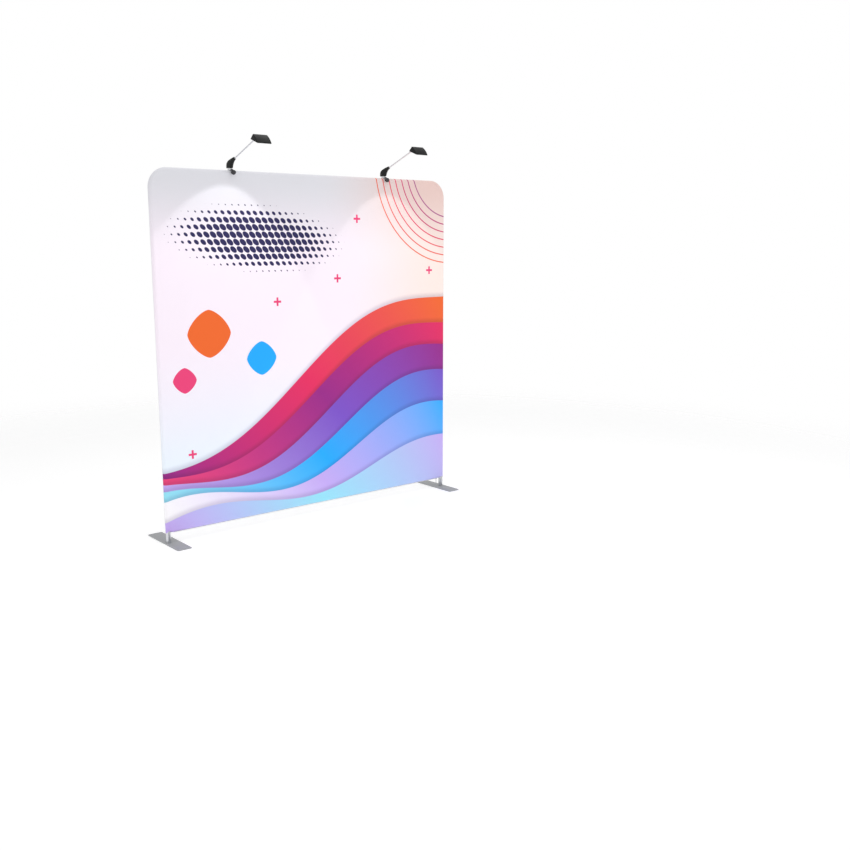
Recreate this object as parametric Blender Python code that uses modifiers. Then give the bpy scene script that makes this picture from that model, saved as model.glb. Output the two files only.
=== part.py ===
# A straight tension fabric display: a push-button tube frame in a zipped fabric cover, on two
# flat steel feet, lit by two clamp-on arm lamps. Metres, +Z up, the cover's print facing -Y.
import math

import bpy
import bmesh
from mathutils import Matrix, Vector

# Overall sizes of the dressed frame
display_width = 2.300
display_height = 2.300
hem_height = 0.070
cover_corner_radius = 0.122
cover_thickness = 0.001

# Frame tubes
tube_radius = 0.016
tube_wall = 0.0015
spigot_wall = 0.0015
spigot_length = 0.060
shoulder_length = 0.003
corner_tail_length = 0.060
upright_joint_height = 1.150
rail_joint_offset = 0.060
stub_seat_gap = 0.002

# Centre pole and its saddles
pole_radius = 0.0125
pole_joint_height = 1.150
saddle_radius = 0.015
saddle_height = 0.034
saddle_plug_length = 0.022
saddle_plug_chamfer = 0.001

# Clearance between pieces that touch, overrun of the cutters, and weld distance
fit_gap = 0.0003
cut_overrun = 0.004
weld_distance = 0.00002

# Feet
foot_width = 0.096
foot_front_reach = 0.185
foot_back_reach = 0.245
foot_inward_offset = 0.020
foot_thickness = 0.006
foot_corner_radius = 0.010
foot_edge_round = 0.0008
post_height = 0.105
post_chamfer = 0.002
bolt_radius = 0.004
bolt_length = 0.024
bolt_head_radius = 0.0075
bolt_head_height = 0.0030
bolt_head_recess = 0.0005
bolt_thread_depth = 0.022
bolt_socket_radius = 0.0025
bolt_socket_depth = 0.0015

# Spring buttons of the tube joints
button_radius = 0.0037
button_hole_gap = 0.0004
button_proud = 0.0022
button_dome = 0.0012
leaf_width = 0.008
leaf_thickness = 0.0008
leaf_length = 0.024
leaf_heel = 0.006
leaf_bend_run = 0.003
leaf_bend_drop = 0.0015
leaf_end_drop = 0.006

# Cover seams and zip
upright_hole_gap = 0.0006
zip_half_angle = math.radians(30)
zip_end_gap = 0.020
coil_neck_half_width = 0.0012
coil_neck_height = 0.0016
coil_half_width = 0.0024
coil_height = 0.0017
slider_length = 0.012
slider_wall = 0.0015
slider_lip = 0.0007
slider_floor = 0.0012
slider_end_gap = 0.004
slider_ear_thickness = 0.0016
slider_ear_length = 0.006
slider_ear_drop = 0.0046
pull_pin_radius = 0.0009
pull_pin_drop = 0.0024
pull_eye_radius = 0.0019
pull_cheek = 0.0012
pull_length = 0.028
pull_width = 0.008
pull_thickness = 0.0014
pull_fork_height = 0.006
pull_hole_radius = 0.002
pull_hole_inset = 0.004

# Lamp clamps over the top rail
lamp_x = 0.601
clamp_width = 0.024
clamp_thickness = 0.004
clamp_corner_radius = 0.008
clamp_back_drop = 0.014
clamp_front_length = 0.019
jaw_width = 0.012
jaw_thickness = 0.003
jaw_flange_start = 0.0108
jaw_bend_gap = 0.0006
jaw_shoulder_drop = 0.009
jaw_leg_inner_y = 0.0255
jaw_leg_drop = 0.004
jaw_boss_radius = 0.006
jaw_boss_height = 0.0025
screw_above_rail = 0.004
screw_radius = 0.003
screw_into_knob = 0.007
pad_radius = 0.007
pad_thickness = 0.0025
knob_radius = 0.015
knob_thickness = 0.010
knob_boss_gap = 0.0015
knob_lobes = 12
knob_steps_per_lobe = 6
knob_lobe_share = 0.05
knob_edge_round = 0.001
swivel_radius = 0.015
swivel_height = 0.009
swivel_y = 0.005
swivel_stem_radius = 0.005
swivel_stem_height = 0.010

# Lamp holders, outlined from the side as shares of their reach and height
holder_back = 0.028
holder_reach = 0.091
holder_height = 0.063
holder_base_width = 0.028
holder_tip_width = 0.015
holder_edge_round = 0.0025
holder_outline_shares = (
    (0.000, 0.000), (0.000, 0.230), (0.010, 0.340), (0.036, 0.440), (0.080, 0.530), (0.145, 0.612),
    (0.235, 0.690), (0.350, 0.762), (0.490, 0.832), (0.640, 0.894), (0.790, 0.950), (0.900, 0.988),
    (0.955, 1.000), (0.998, 0.810), (0.945, 0.772), (0.830, 0.695), (0.740, 0.610), (0.665, 0.515),
    (0.600, 0.410), (0.550, 0.305), (0.512, 0.200), (0.485, 0.100), (0.470, 0.000),
)
gland_radius = 0.0045
gland_tip_radius = 0.0036
gland_bore_radius = 0.0028
gland_length = 0.008
gland_seat_depth = 0.003
gland_height = 0.009

# Lamp arms
arm_radius = 0.004
arm_run = 0.2872
arm_rise = 0.1087
arm_socket_depth = 0.016
arm_tip_y_share = 0.95
arm_tip_z_share = 0.88
ferrule_radius = 0.0052
ferrule_start = 0.004
ferrule_length = 0.006
knuckle_radius = 0.0055
knuckle_width = 0.012

# Lamp heads, drawn with their mouth level and then aimed
head_aim = math.radians(20)
hood_width = 0.096
hood_depth = 0.083
hood_peak_depth = 0.019
hood_peak_height = 0.0358
hood_lip_height = 0.005
hood_bulge = 0.005
hood_bulge_steps = 7
hood_wall = 0.002
hood_edge_round = 0.002
pin_stand_off = 0.007
pin_height_share = 0.5
ear_thickness = 0.003
ear_radius = 0.0055
ear_foot_half_height = 0.0088
ear_foot_depth = 0.004
pin_radius = 0.0025
pin_head_radius = 0.004
pin_head_height = 0.002
slot_width = 0.0025
slot_pitch = 0.006
slot_first_x = 0.017
slot_low_share = 0.30
slot_high_share = 0.78
slots_each_side = 4
bezel_height = 0.002
bezel_rim = 0.005
lens_thickness = 0.0024
board_height = 0.0085
board_thickness = 0.0016
board_edge_gap = 0.006
board_front_share = 0.78
board_leg_radius = 0.002
board_leg_inset = 0.003
chip_side = 0.003
chip_height = 0.0008
chip_columns = 6
chip_rows = 2

# Facets of round pieces
tube_sides = 20
small_sides = 16
fine_sides = 12
hole_sides = 14
leg_sides = 8
corner_steps = 8
plate_corner_steps = 3
fold_steps = 4
ear_steps = 6
cover_edge_steps = 5
zip_arc_steps = 6
sharp_angle = math.radians(40)
hood_corner_angle = math.radians(30)

# Places that follow from the sizes
wrap_radius = tube_radius + fit_gap + cover_thickness
upright_x = display_width / 2 - wrap_radius
top_rail_z = display_height - wrap_radius
bottom_rail_z = hem_height + wrap_radius
bend_radius = cover_corner_radius - wrap_radius
corner_end_x = upright_x - bend_radius - corner_tail_length
spigot_radius = tube_radius - tube_wall - fit_gap
stub_x = upright_x - tube_radius - stub_seat_gap
pole_spigot_radius = pole_radius - tube_wall - fit_gap
clamp_clearance = wrap_radius + fit_gap

for leftover in list(bpy.data.objects):
    bpy.data.objects.remove(leftover)

parts = bpy.data.collections.new("tension_fabric_display")
cutters = bpy.data.collections.new("cutters")
for group in (parts, cutters):
    bpy.context.scene.collection.children.link(group)
cutters.hide_render = True

# A side outline is drawn as (y, z) pairs; this turn lays it in the YZ plane, with its width along X
SIDE_ON = Matrix(((0, 0, 1, 0), (1, 0, 0, 0), (0, 1, 0, 0), (0, 0, 0, 1)))
# A front outline is drawn as (x, z) pairs; this turn lays it in the XZ plane, with its width along Y
FACE_ON = Matrix(((1, 0, 0, 0), (0, 0, -1, 0), (0, 1, 0, 0), (0, 0, 0, 1)))


def finish_material(name, colour, roughness, metallic=0.0, alpha=1.0):
    """A plain surface for one kind of piece."""
    made = bpy.data.materials.new(name)
    made.use_nodes = True
    surface = made.node_tree.nodes["Principled BSDF"]
    surface.inputs["Base Color"].default_value = (*colour, 1)
    surface.inputs["Roughness"].default_value = roughness
    surface.inputs["Metallic"].default_value = metallic
    surface.inputs["Alpha"].default_value = alpha
    return made


def put(name, data, look=None, parent=None, location=(0, 0, 0), rotation=(0, 0, 0)):
    """Adds a shape to the display or, when it has no look, to the cutters."""
    made = bpy.data.objects.new(name, data)
    made.parent = parent
    made.location = location
    made.rotation_euler = rotation
    if look is None:
        cutters.objects.link(made)
        made.hide_render = True
        made.display_type = "WIRE"
        return made
    parts.objects.link(made)
    data.materials.append(look)
    return made


def axis_empty(name, location, parent=None, rotation=(0, 0, 0)):
    """An empty that carries the pieces of one moving group, on the axis that they move about."""
    made = bpy.data.objects.new(name, None)
    parts.objects.link(made)
    made.parent = parent
    made.location = location
    made.rotation_euler = rotation
    made.empty_display_size = tube_radius
    return made


def smooth(mesh):
    """Shades a round shape smooth, with its edges left sharp."""
    mesh.shade_smooth()
    mesh.set_sharp_from_angle(angle=sharp_angle)
    return mesh


def mesh_of(shape, name):
    """The finished mesh of a bmesh."""
    mesh = bpy.data.meshes.new(name)
    bmesh.ops.recalc_face_normals(shape, faces=shape.faces)
    shape.to_mesh(mesh)
    shape.free()
    return smooth(mesh)


def mesh_of_curve(data, turn=Matrix()):
    """The welded mesh of a curve, turned into place, with the curve itself removed."""
    curve = bpy.data.objects.new(data.name, data)
    parts.objects.link(curve)
    graph = bpy.context.evaluated_depsgraph_get()
    mesh = bpy.data.meshes.new_from_object(curve.evaluated_get(graph))
    shape = bmesh.new()
    shape.from_mesh(mesh)
    bmesh.ops.remove_doubles(shape, verts=shape.verts, dist=weld_distance)
    shape.to_mesh(mesh)
    shape.free()
    bpy.data.objects.remove(curve)
    mesh.transform(turn)
    return smooth(mesh)


def slab(name, outline, width, turn, edge_round=0.0):
    """A flat outline made into a plate, with its edges rounded if asked."""
    data = bpy.data.curves.new(name, "CURVE")
    data.dimensions = "2D"
    data.fill_mode = "BOTH"
    data.extrude = width / 2 - edge_round
    data.bevel_depth = edge_round
    data.bevel_resolution = 1
    data.offset = -edge_round
    spline = data.splines.new("POLY")
    spline.points.add(len(outline) - 1)
    spline.use_cyclic_u = True
    for point, (across, up) in zip(spline.points, outline):
        point.co = (across, up, 0, 1)
    return mesh_of_curve(data, turn)


def drum(name, radius, start, end, sides=small_sides):
    """A cylinder from one point to another."""
    along = Vector(end) - Vector(start)
    place = Matrix.Translation(Vector(start) + along / 2)
    turn = along.to_track_quat("Z", "Y").to_matrix().to_4x4()
    shape = bmesh.new()
    bmesh.ops.create_cone(
        shape, cap_ends=True, segments=sides, radius1=radius, radius2=radius,
        depth=along.length, matrix=place @ turn,
    )
    return mesh_of(shape, name)


def block(name, low, high):
    """A box between two opposite corners."""
    low, high = Vector(low), Vector(high)
    shape = bmesh.new()
    sizes = Matrix.Diagonal((*(high - low), 1))
    bmesh.ops.create_cube(shape, size=1, matrix=Matrix.Translation((low + high) / 2) @ sizes)
    return mesh_of(shape, name)


def turned(
    name, profile, look=None, parent=None, location=(0, 0, 0), rotation=(0, 0, 0), sides=small_sides,
):
    """A profile of (radius, height) pairs, run down its outer side and turned about Z."""
    mesh = bpy.data.meshes.new(name)
    closed = profile[0][0] > 0
    count = len(profile)
    edges = [(i, (i + 1) % count) for i in range(count if closed else count - 1)]
    mesh.from_pydata([(radius, 0, height) for radius, height in profile], edges, [])
    made = put(name, mesh, look, parent, location, rotation)
    spin = made.modifiers.new("Turn", "SCREW")
    spin.steps = sides
    spin.render_steps = sides
    spin.use_merge_vertices = True
    spin.merge_threshold = weld_distance
    return made


def folded_strip(name, path, width, turn):
    """An open path of (across, up) pairs, swept to a strip that faces the path's right hand."""
    shape = bmesh.new()
    rows = [
        [shape.verts.new((across, up, side * width / 2)) for across, up in path] for side in (-1, 1)
    ]
    for i in range(len(path) - 1):
        shape.faces.new((rows[0][i], rows[0][i + 1], rows[1][i + 1], rows[1][i]))
    mesh = bpy.data.meshes.new(name)
    shape.to_mesh(mesh)
    shape.free()
    mesh.transform(turn)
    return mesh


def solidify(target, thickness, offset=-1.0):
    """Gives an open surface its thickness."""
    wall = target.modifiers.new("Wall", "SOLIDIFY")
    wall.thickness = thickness
    wall.offset = offset
    wall.use_even_offset = True


def combine(target, other, operation):
    """Cuts another shape from the target, or joins it on."""
    step = target.modifiers.new(f"{operation.title()} {other.name}", "BOOLEAN")
    step.operation = operation
    step.object = other


def cut(target, other):
    combine(target, other, "DIFFERENCE")


def join(target, other):
    combine(target, other, "UNION")


def arc(centre, radius, start, end, steps):
    """Points on a circle's arc, both ends included."""
    angles = [start + (end - start) * i / steps for i in range(steps + 1)]
    return [(centre[0] + radius * math.cos(a), centre[1] + radius * math.sin(a)) for a in angles]


def rounded_box_outline(low, high, radius, steps=plate_corner_steps):
    """A rectangle with round corners, anticlockwise."""
    points = []
    left, right = low[0] + radius, high[0] - radius
    bottom, top = low[1] + radius, high[1] - radius
    for i, centre in enumerate(((right, top), (left, top), (left, bottom), (right, bottom))):
        points += arc(centre, radius, i * math.pi / 2, (i + 1) * math.pi / 2, steps)
    return points


aluminium = finish_material("satin_aluminium", (0.72, 0.73, 0.75), 0.35, 1.0)
foot_steel = finish_material("grey_coated_steel", (0.40, 0.40, 0.41), 0.45, 0.6)
zinc = finish_material("zinc_plated_steel", (0.62, 0.62, 0.62), 0.35, 1.0)
saddle_plastic = finish_material("saddle_plastic", (0.08, 0.08, 0.09), 0.5)
print_cloth = finish_material("printed_cloth", (0.93, 0.90, 0.96), 0.85)
back_cloth = finish_material("white_cloth", (0.92, 0.92, 0.93), 0.85)
zip_nylon = finish_material("zip_nylon", (0.85, 0.85, 0.86), 0.6)
black_plastic = finish_material("black_plastic", (0.022, 0.026, 0.024), 0.4)
knob_plastic = finish_material("grey_knob_plastic", (0.055, 0.055, 0.06), 0.5)
jaw_paint = finish_material("dark_jaw_paint", (0.05, 0.05, 0.055), 0.4, 0.3)
rubber = finish_material("pad_rubber", (0.03, 0.03, 0.03), 0.8)
chrome = finish_material("chrome", (0.80, 0.80, 0.81), 0.12, 1.0)
hood_paint = finish_material("black_hood_paint", (0.030, 0.030, 0.032), 0.42)
lens_plastic = finish_material("frosted_lens", (0.95, 0.95, 0.92), 0.35, 0.0, 0.6)
board_white = finish_material("led_board_white", (0.88, 0.88, 0.84), 0.5)


def tube(name, points, radii, wall, parent):
    """A hollow tube along the points, open at both ends, with its outer radius at each point."""
    data = bpy.data.curves.new(name, "CURVE")
    data.dimensions = "3D"
    data.bevel_depth = max(radii)
    data.bevel_resolution = tube_sides // 2 - 2
    spline = data.splines.new("POLY")
    spline.points.add(len(points) - 1)
    for point, place, radius in zip(spline.points, points, radii):
        point.co = (*place, 1)
        point.radius = radius / data.bevel_depth
    made = put(name, mesh_of_curve(data), aluminium, parent)
    solidify(made, wall)
    return made


def straight_tube(name, start, end, parent, radius=tube_radius, spigot=None):
    """A straight tube with, if asked, a reduced end past its shoulder that plugs into the next tube."""
    start, end = Vector(start), Vector(end)
    along = (end - start).normalized()
    points, radii = [start, end], [radius, radius]
    if spigot:
        points = [start, end - along * shoulder_length, end, end + along * spigot_length]
        radii += [spigot, spigot]
    return tube(name, points, radii, tube_wall, parent)


def lower_upright(name, side, parent):
    """The tube that stands on the foot, with the welded stub that carries the bottom rail."""
    x = side * upright_x
    top = upright_joint_height
    made = turned(name, (
        (0, top + spigot_length), (spigot_radius, top + spigot_length),
        (spigot_radius, top), (tube_radius, top - shoulder_length),
        (tube_radius, foot_thickness + fit_gap), (0, foot_thickness + fit_gap),
    ), aluminium, parent, (x, 0, 0), sides=tube_sides)
    stub_end = side * (stub_x - spigot_length)
    stub = put(f"{name}_stub", drum(
        f"{name}_stub", spigot_radius, (x, 0, bottom_rail_z), (stub_end, 0, bottom_rail_z), tube_sides,
    ), None, parent)
    join(made, stub)
    bore = tube_radius - tube_wall
    narrow = spigot_radius - spigot_wall
    cut(made, turned(f"{name}_bore", (
        (0, top + spigot_length + cut_overrun), (narrow, top + spigot_length + cut_overrun),
        (narrow, top), (bore, top - shoulder_length),
        (bore, -cut_overrun), (0, -cut_overrun),
    ), None, parent, (x, 0, 0), sides=tube_sides))
    past_end = stub_end - side * cut_overrun
    cut(made, put(f"{name}_stub_bore", drum(
        f"{name}_stub_bore", narrow, (x, 0, bottom_rail_z), (past_end, 0, bottom_rail_z), tube_sides,
    ), None, parent))
    return made


def upper_upright(name, side, parent):
    """The tube that bends round the cover's top corner and ends in the top rail's spigot."""
    x = side * upright_x
    bend_z = top_rail_z - bend_radius
    bend = arc((upright_x - bend_radius, bend_z), bend_radius, 0, math.pi / 2, corner_steps)
    points = [(x, 0, upright_joint_height + fit_gap)]
    points += [(side * across, 0, up) for across, up in bend]
    points += [
        (side * (corner_end_x + shoulder_length), 0, top_rail_z),
        (side * corner_end_x, 0, top_rail_z),
        (side * (corner_end_x - spigot_length), 0, top_rail_z),
    ]
    radii = [tube_radius] * (len(points) - 2) + [spigot_radius] * 2
    return tube(name, points, radii, tube_wall, parent)


def pole_saddle(name, parent, rail_z, rotation):
    """A cradle that hugs a rail and plugs into the end of the centre pole."""
    plug = pole_radius - tube_wall - fit_gap
    top = saddle_height + saddle_plug_length
    made = turned(name, (
        (0, top), (plug - saddle_plug_chamfer, top), (plug, top - saddle_plug_chamfer),
        (plug, saddle_height),
        (saddle_radius, saddle_height), (saddle_radius, 0), (0, 0),
    ), saddle_plastic, parent, (0, 0, rail_z), rotation)
    reach = saddle_radius + cut_overrun
    cut(made, put(f"{name}_rail_space", drum(
        f"{name}_rail_space", tube_radius + fit_gap, (-reach, 0, rail_z), (reach, 0, rail_z), tube_sides,
    ), None, parent))
    return made


def snap_clip(name, centre, rotation, parent, radius, tubes):
    """A spring button in a tube joint, and its holes through both tubes."""
    bore = (radius - tube_wall - fit_gap - spigot_wall) * math.cos(math.pi / tube_sides)
    seat = math.sqrt(bore ** 2 - (leaf_width / 2) ** 2) - fit_gap
    top = radius + button_proud
    axis = axis_empty(f"{name}_axis", centre, parent, rotation)
    made = turned(name, (
        (0, top), (button_radius - button_dome, top), (button_radius, top - button_dome),
        (button_radius, seat - leaf_thickness / 2), (0, seat - leaf_thickness / 2),
    ), zinc, axis, sides=fine_sides)
    path = [
        (-leaf_heel, seat), (leaf_length - leaf_bend_run, seat), (leaf_length, seat - leaf_bend_drop),
        (leaf_length + leaf_bend_run, seat - leaf_end_drop),
    ]
    leaf = put(f"{name}_leaf", folded_strip(f"{name}_leaf", path, leaf_width, FACE_ON), None, axis)
    solidify(leaf, leaf_thickness, 1.0)
    join(made, leaf)
    hole = put(f"{name}_hole", drum(
        f"{name}_hole", button_radius + button_hole_gap, (0, 0, bore / 2),
        (0, 0, radius + cut_overrun), hole_sides,
    ), None, axis)
    for each in tubes:
        cut(each, hole)
    return made


def frame(parent):
    """The tubes, the centre pole with its saddles, and the spring buttons."""
    uprights, corners = {}, {}
    for word, side in (("left", -1), ("right", 1)):
        uprights[side] = lower_upright(f"{word}_lower_upright", side, parent)
        corners[side] = upper_upright(f"{word}_upper_upright", side, parent)
    top_left = straight_tube(
        "left_top_rail", (-corner_end_x + fit_gap, 0, top_rail_z), (rail_joint_offset, 0, top_rail_z),
        parent, spigot=spigot_radius)
    top_right = straight_tube(
        "right_top_rail", (rail_joint_offset + fit_gap, 0, top_rail_z),
        (corner_end_x - fit_gap, 0, top_rail_z), parent)
    bottom_left = straight_tube(
        "left_bottom_rail", (-stub_x, 0, bottom_rail_z), (rail_joint_offset, 0, bottom_rail_z),
        parent, spigot=spigot_radius)
    bottom_right = straight_tube(
        "right_bottom_rail", (rail_joint_offset + fit_gap, 0, bottom_rail_z),
        (stub_x, 0, bottom_rail_z), parent)
    pole_low = straight_tube(
        "centre_pole_lower", (0, 0, bottom_rail_z + saddle_height + fit_gap), (0, 0, pole_joint_height),
        parent, pole_radius, pole_spigot_radius)
    pole_high = straight_tube(
        "centre_pole_upper", (0, 0, pole_joint_height + fit_gap),
        (0, 0, top_rail_z - saddle_height - fit_gap), parent, pole_radius)
    pole_saddle("bottom_pole_saddle", parent, bottom_rail_z, (0, 0, 0))
    pole_saddle("top_pole_saddle", parent, top_rail_z, (math.pi, 0, 0))

    middle = spigot_length / 2
    quarter = math.pi / 2
    for word, side in (("left", -1), ("right", 1)):
        snap_clip(
            f"{word}_upright_button", (side * upright_x, 0, upright_joint_height + middle),
            (0, -side * quarter, 0), parent, tube_radius, (uprights[side], corners[side]))
        rail = top_left if side < 0 else top_right
        snap_clip(
            f"{word}_corner_button", (side * (corner_end_x - middle), 0, top_rail_z),
            (math.pi, 0, 0), parent, tube_radius, (corners[side], rail))
        rail = bottom_left if side < 0 else bottom_right
        snap_clip(
            f"{word}_stub_button", (side * (stub_x - middle), 0, bottom_rail_z),
            (0, 0, 0), parent, tube_radius, (uprights[side], rail))
    snap_clip(
        "top_rail_button", (rail_joint_offset + middle, 0, top_rail_z),
        (math.pi, 0, 0), parent, tube_radius, (top_left, top_right))
    snap_clip(
        "bottom_rail_button", (rail_joint_offset + middle, 0, bottom_rail_z),
        (0, 0, 0), parent, tube_radius, (bottom_left, bottom_right))
    snap_clip(
        "centre_pole_button", (0, 0, pole_joint_height + middle),
        (0, quarter, 0), parent, pole_radius, (pole_low, pole_high))


def foot(word, side, parent):
    """A flat steel foot, its post that stands in the upright, and the bolt that holds them together."""
    axis = axis_empty(f"{word}_foot_axis", (side * upright_x, 0, 0), parent)
    middle = -side * foot_inward_offset
    outline = rounded_box_outline(
        (middle - foot_width / 2, -foot_front_reach), (middle + foot_width / 2, foot_back_reach),
        foot_corner_radius)
    plate = put(
        f"{word}_foot_plate", slab(f"{word}_foot_plate", outline, foot_thickness,
                                   Matrix.Translation((0, 0, foot_thickness / 2)), foot_edge_round),
        foot_steel, axis)
    head_top = bolt_head_recess + bolt_head_height
    cut(plate, turned(f"{word}_foot_bolt_space", (
        (0, foot_thickness + cut_overrun), (bolt_radius + fit_gap, foot_thickness + cut_overrun),
        (bolt_radius + fit_gap, head_top + fit_gap), (bolt_head_radius + fit_gap, head_top + fit_gap),
        (bolt_head_radius + fit_gap, -cut_overrun), (0, -cut_overrun),
    ), None, axis))
    bottom = foot_thickness + fit_gap
    turned(f"{word}_foot_post", (
        (0, bottom + post_height), (spigot_radius - post_chamfer, bottom + post_height),
        (spigot_radius, bottom + post_height - post_chamfer), (spigot_radius, bottom),
        (bolt_radius + fit_gap, bottom), (bolt_radius + fit_gap, bottom + bolt_thread_depth),
        (0, bottom + bolt_thread_depth),
    ), zinc, axis, sides=tube_sides)
    turned(f"{word}_foot_bolt", (
        (0, bolt_length), (bolt_radius, bolt_length), (bolt_radius, head_top), (bolt_head_radius, head_top),
        (bolt_head_radius, bolt_head_recess), (bolt_socket_radius, bolt_head_recess),
        (bolt_socket_radius, bolt_head_recess + bolt_socket_depth),
        (0, bolt_head_recess + bolt_socket_depth),
    ), zinc, axis)


def cover_panel(name, side, look, parent):
    """One half of the pillowcase cover: a flat face whose edges roll half round the frame."""
    half = display_width / 2
    high = display_height - cover_corner_radius
    inset = half - cover_corner_radius
    outline = [(-half, hem_height), (half, hem_height)]
    outline += arc((inset, high), cover_corner_radius, 0, math.pi / 2, corner_steps)
    outline += arc((-inset, high), cover_corner_radius, math.pi / 2, math.pi, corner_steps)
    shape = bmesh.new()
    rim = [shape.verts.new((across, side * fit_gap / 2, up)) for across, up in outline]
    open_face = shape.faces.new(rim)
    grown = bmesh.ops.extrude_face_region(shape, geom=[open_face])["geom"]
    moved = [v for v in grown if isinstance(v, bmesh.types.BMVert)]
    bmesh.ops.translate(shape, verts=moved, vec=(0, side * (wrap_radius - fit_gap / 2), 0))
    outer = [f for f in grown if isinstance(f, bmesh.types.BMFace)]
    edges = {edge for face in outer for edge in face.edges}
    bmesh.ops.bevel(
        shape, geom=list(edges), offset=wrap_radius - fit_gap, segments=cover_edge_steps,
        profile=0.5, affect="EDGES", clamp_overlap=False)
    near = [f for f in shape.faces if all(abs(v.co.y) < fit_gap for v in f.verts) and len(f.verts) > 4]
    bmesh.ops.recalc_face_normals(shape, faces=shape.faces)
    bmesh.ops.delete(shape, geom=near, context="FACES_ONLY")
    mesh = bpy.data.meshes.new(name)
    shape.to_mesh(mesh)
    shape.free()
    panel = put(name, smooth(mesh), look, parent)
    solidify(panel, cover_thickness)
    return panel


def cover(parent):
    """The front and back of the fabric cover, with their openings for the uprights and the zip."""
    hole = tube_radius + upright_hole_gap
    zip_half = wrap_radius * math.sin(zip_half_angle) + fit_gap
    low = hem_height - cut_overrun
    for name, side, look in (("front_cover", -1, print_cloth), ("back_cover", 1, back_cloth)):
        panel = cover_panel(name, side, look, parent)
        for x in (-upright_x, upright_x):
            cut(panel, put(f"{name}_upright_hole", drum(
                f"{name}_upright_hole", hole, (x, 0, low), (x, 0, bottom_rail_z), tube_sides,
            ), None, parent))
        cut(panel, put(f"{name}_zip_gap", block(
            f"{name}_zip_gap", (-upright_x, -zip_half, low), (upright_x, zip_half, bottom_rail_z),
        ), None, parent))


def zipper(parent):
    """The zip tape with its coil, the slider that rides on the coil, and the pull that hangs from it."""
    half_length = upright_x - tube_radius - zip_end_gap
    inner = tube_radius + fit_gap
    down = -math.pi / 2
    coil_top = -wrap_radius - coil_neck_height
    coil_low = coil_top - coil_height
    neck_angle = math.asin(coil_neck_half_width / wrap_radius)
    outline = arc((0, 0), inner, down + zip_half_angle, down - zip_half_angle, zip_arc_steps)
    outline += arc((0, 0), wrap_radius, down - zip_half_angle, down - neck_angle, zip_arc_steps // 2)
    outline += [
        (-coil_neck_half_width, coil_top), (-coil_half_width, coil_top), (-coil_half_width, coil_low),
        (coil_half_width, coil_low), (coil_half_width, coil_top), (coil_neck_half_width, coil_top),
    ]
    outline += arc((0, 0), wrap_radius, down + neck_angle, down + zip_half_angle, zip_arc_steps // 2)
    turn = Matrix.Translation((0, 0, bottom_rail_z)) @ SIDE_ON
    put("zip_chain", slab("zip_chain", outline, 2 * half_length, turn), zip_nylon, parent)

    slider_x = half_length - slider_end_gap - slider_length / 2
    inside = coil_half_width + fit_gap
    outside = inside + slider_wall
    lip = coil_neck_half_width + fit_gap
    lip_low = coil_top + fit_gap
    lip_top = lip_low + slider_lip
    floor_top = coil_low - fit_gap
    floor_low = floor_top - slider_floor
    axis = axis_empty("zip_slider_axis", (slider_x, 0, bottom_rail_z), parent)
    slider = put("zip_slider", slab("zip_slider", [
        (-outside, floor_low), (outside, floor_low), (outside, lip_top), (lip, lip_top), (lip, lip_low),
        (inside, lip_low), (inside, floor_top), (-inside, floor_top), (-inside, lip_low), (-lip, lip_low),
        (-lip, lip_top), (-outside, lip_top),
    ], slider_length, SIDE_ON), zinc, axis)
    ear_half = slider_ear_length / 2
    pin_z = floor_low - pull_pin_drop
    ear = put("zip_slider_ear", slab("zip_slider_ear", [
        (-ear_half, floor_low + slider_floor / 2), (-ear_half, floor_low),
        (-pull_eye_radius, pin_z - pull_eye_radius / 2), (0, floor_low - slider_ear_drop),
        (pull_eye_radius, pin_z - pull_eye_radius / 2), (ear_half, floor_low),
        (ear_half, floor_low + slider_floor / 2),
    ], slider_ear_thickness, FACE_ON), None, axis)
    join(slider, ear)
    cut(slider, put("zip_slider_eye", drum(
        "zip_slider_eye", pull_pin_radius + fit_gap, (0, -pull_width, pin_z),
        (0, pull_width, pin_z), fine_sides,
    ), None, axis))

    pull_axis = axis_empty("zip_pull_axis", (0, 0, pin_z), axis)
    near = slider_ear_thickness / 2 + fit_gap
    pull = put("zip_pull", slab("zip_pull", [
        (-pull_width / 2, -pull_length), (pull_width / 2, -pull_length),
        (pull_width / 2, -pull_fork_height), (near + pull_cheek, pull_eye_radius / 2),
        (near, pull_eye_radius / 2), (near, -pull_fork_height), (-near, -pull_fork_height),
        (-near, pull_eye_radius / 2), (-near - pull_cheek, pull_eye_radius / 2),
        (-pull_width / 2, -pull_fork_height),
    ], pull_thickness, SIDE_ON), zinc, pull_axis)
    join(pull, put("zip_pull_pin", drum(
        "zip_pull_pin", pull_pin_radius, (0, -near - pull_cheek / 2, 0),
        (0, near + pull_cheek / 2, 0), fine_sides,
    ), None, pull_axis))
    cut(pull, put("zip_pull_hole", drum(
        "zip_pull_hole", pull_hole_radius, (-cut_overrun, 0, pull_hole_inset - pull_length),
        (cut_overrun, 0, pull_hole_inset - pull_length), fine_sides,
    ), None, pull_axis))


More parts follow.
